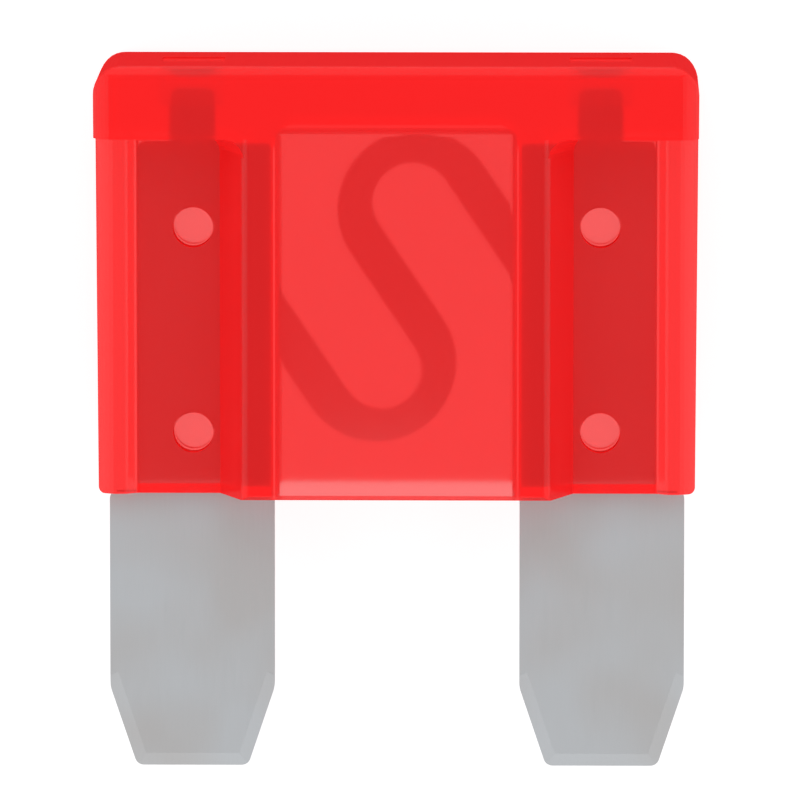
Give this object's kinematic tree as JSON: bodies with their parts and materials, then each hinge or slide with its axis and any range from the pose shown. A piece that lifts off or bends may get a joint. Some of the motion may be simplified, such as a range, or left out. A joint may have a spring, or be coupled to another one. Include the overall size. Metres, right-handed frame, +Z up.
{
  "type": "automotive blade fuse",
  "caption": "Large-size automotive blade fuse: a translucent red moulded housing holding one stamped metal element with a thin S-shaped link between two flat blades.",
  "frame": {"origin": "centre of the bottom of the part's box, on the surface that it lies on", "axes": "+X across the two blades, +Y from the blade tips towards the head, +Z up out of the front face"},
  "size_m": [0.0292, 0.0344, 0.0085],
  "materials": {
    "housing_plastic": "translucent red, glossy, moulded",
    "element_metal": "satin zinc alloy, stamped, with coined tips"
  },
  "bodies": {
    "root": {"housing": "housing_plastic", "fuse_element": "element_metal"}
  },
  "joints": []
}
